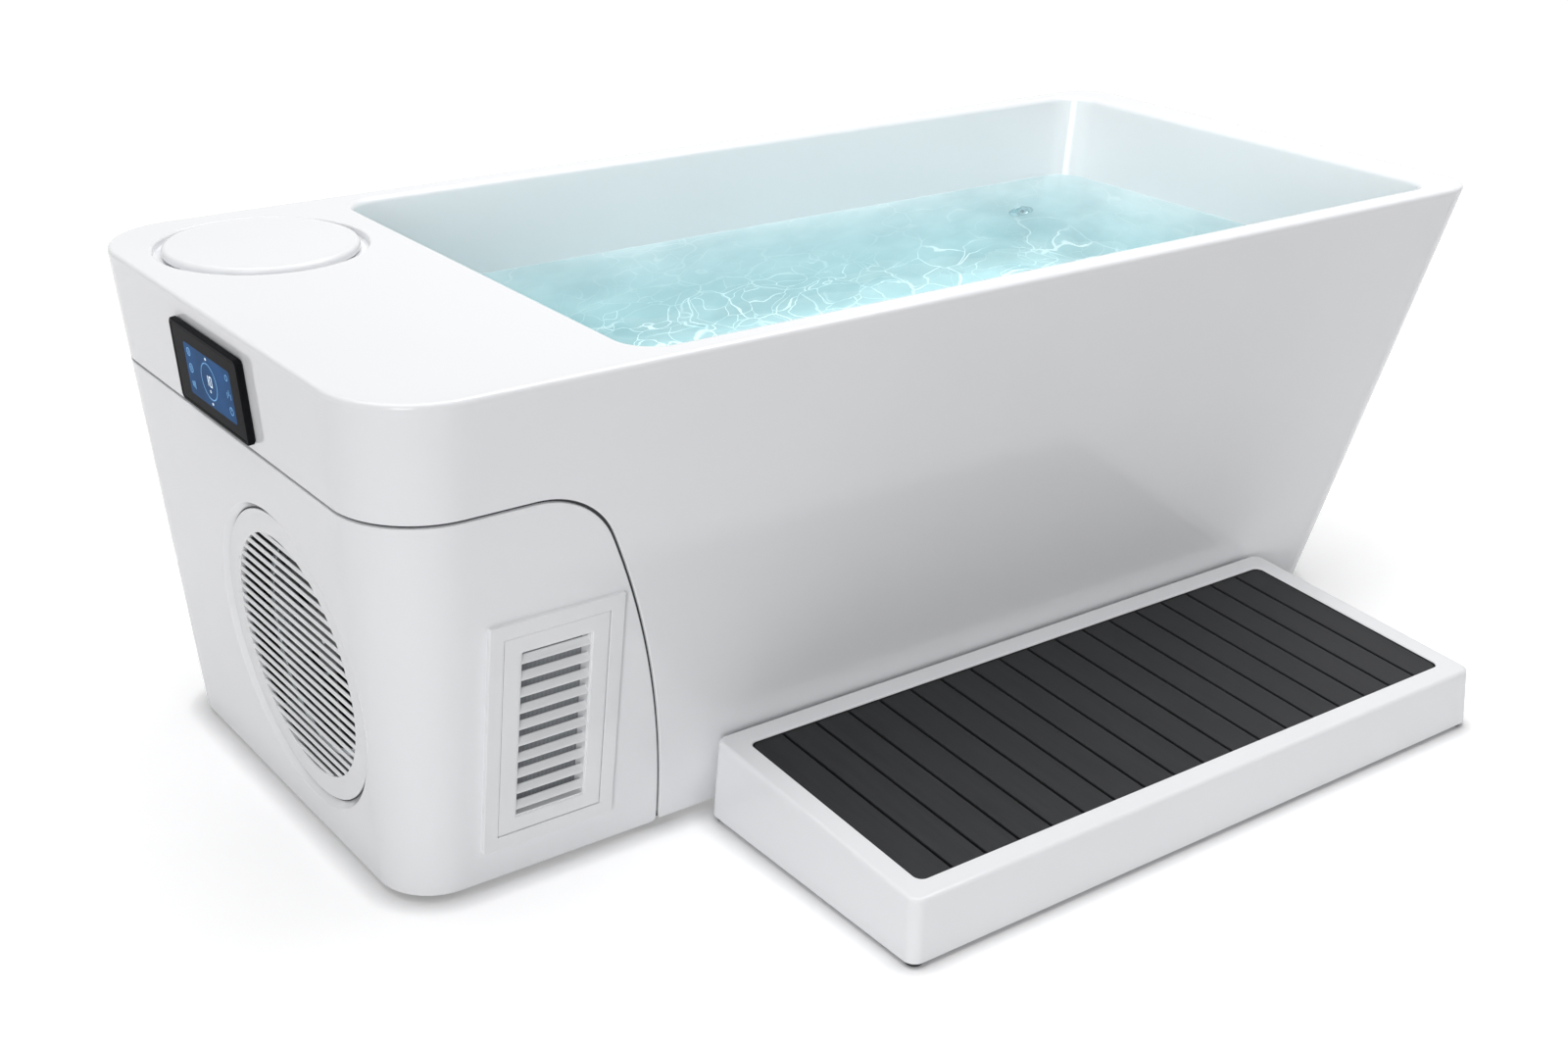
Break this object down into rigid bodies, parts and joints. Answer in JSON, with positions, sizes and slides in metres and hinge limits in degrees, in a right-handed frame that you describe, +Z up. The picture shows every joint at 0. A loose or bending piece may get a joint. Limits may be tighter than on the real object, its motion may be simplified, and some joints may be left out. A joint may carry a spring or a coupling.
{
  "type": "cold plunge tub",
  "caption": "Free-standing white cold plunge tub with a chiller behind a louvred end cover, a round filter lid in its deck, a touch screen and a loose slatted step.",
  "frame": {"origin": "centre of the bounding box on the floor, tub and step together", "axes": "+X along the tub from the chiller end to the foot end, +Y from the step to the tub's back, +Z up"},
  "size_m": [1.9406, 1.248, 0.7045],
  "materials": {
    "acrylic_basin": "polished white sanitary acrylic",
    "acrylic_skirt": "polished white sanitary acrylic",
    "acrylic_lid": "polished white moulding",
    "acrylic_cover": "polished white moulding",
    "acrylic_step": "satin white moulding",
    "white_abs": "satin white moulded plastic",
    "slat_composite": "brushed dark composite decking",
    "bezel_black": "gloss black moulding",
    "screen_glass": "blue display behind glass",
    "seal_rubber": "moulded black rubber",
    "foot_rubber": "moulded black rubber",
    "foam": "sprayed cell foam",
    "coated_steel": "powder-coated square tube",
    "pale_abs": "moulded pale plastic",
    "grey_abs": "moulded grey plastic",
    "filter_fabric": "pleated filter fabric",
    "galvanised": "galvanised sheet",
    "stainless": "turned stainless steel",
    "motor_coat": "black enamel",
    "exchanger_coat": "closed-cell wrap",
    "fan_plastic": "moulded dark plastic",
    "fin_aluminium": "pressed fins",
    "copper": "drawn copper tube",
    "pump_plastic": "moulded dark plastic",
    "white_pvc": "extruded white pipe",
    "hose_pvc": "braided hose",
    "chrome": "polished chrome",
    "gland_nylon": "moulded black nylon"
  },
  "bodies": {
    "tub": {"basin_liner": "acrylic_basin", "outer_skirt": "acrylic_skirt", "basin_insulation": "foam", "base_frame": "coated_steel", "levelling_feet": "foot_rubber", "filter_housing": "pale_abs", "filter_cartridge": "filter_fabric", "screen_bezel": "bezel_black", "screen_panel": "screen_glass", "screen_gasket": "seal_rubber", "control_box": "grey_abs", "chiller_tray": "galvanised", "fan_bulkhead": "galvanised", "cover_studs": "stainless", "fan_motor": "motor_coat", "fan_motor_bracket": "galvanised", "condenser_coil": "fin_aluminium", "compressor": "motor_coat", "compressor_grommets": "seal_rubber", "heat_exchanger": "exchanger_coat", "exchanger_saddles": "galvanised", "refrigerant_lines": "copper", "circulation_pump": "pump_plastic", "suction_fitting": "pale_abs", "filter_pipe": "white_pvc", "pressure_pipe": "white_pvc", "return_pipe": "hose_pvc", "return_jet": "chrome", "drain_flange": "chrome", "drain_pipe": "grey_abs", "power_gland": "gland_nylon"},
    "filter_lid": {"filter_lid": "acrylic_lid", "lid_seal": "seal_rubber"},
    "chiller_cover": {"chiller_cover": "acrylic_cover", "fan_grille": "white_abs", "vent_frame": "white_abs"},
    "vent_core": {"vent_core": "white_abs"},
    "fan": {"fan_rotor": "fan_plastic", "fan_shaft": "stainless"},
    "drain_plug": {"drain_plug": "chrome"},
    "step": {"step_shell": "acrylic_step", "step_feet": "foot_rubber", "step_slat_01": "slat_composite", "step_slat_02": "slat_composite", "step_slat_03": "slat_composite", "step_slat_04": "slat_composite", "step_slat_05": "slat_composite", "step_slat_06": "slat_composite", "step_slat_07": "slat_composite", "step_slat_08": "slat_composite", "step_slat_09": "slat_composite", "step_slat_10": "slat_composite", "step_slat_11": "slat_composite", "step_slat_12": "slat_composite", "step_slat_13": "slat_composite", "step_slat_14": "slat_composite", "step_slat_15": "slat_composite", "step_slat_16": "slat_composite", "step_slat_17": "slat_composite", "step_slat_18": "slat_composite"}
  },
  "joints": [
    {"name": "lid_lift", "type": "slide", "parent": "tub", "child": "filter_lid", "axis": [0, 0, 1], "range_m": [0, 0.25]},
    {"name": "cover_pull", "type": "slide", "parent": "tub", "child": "chiller_cover", "axis": [-1, 0, 0], "range_m": [0, 0.45]},
    {"name": "vent_swing", "type": "hinge", "parent": "chiller_cover", "child": "vent_core", "pos_m": [-0.78112, -0.20574, 0.22661], "axis": [0, 0.1305, -0.9914], "range_deg": [0, 90]},
    {"name": "fan_spin", "type": "hinge", "parent": "tub", "child": "fan", "pos_m": [-0.86211, 0.06996, 0.278], "axis": [1, 0, 0], "continuous": true},
    {"name": "plug_lift", "type": "slide", "parent": "tub", "child": "drain_plug", "axis": [0, 0, 1], "range_m": [0, 0.01]},
    {"name": "step_pull", "type": "slide", "parent": "tub", "child": "step", "axis": [0, -1, 0], "range_m": [0, 0.25]}
  ]
}
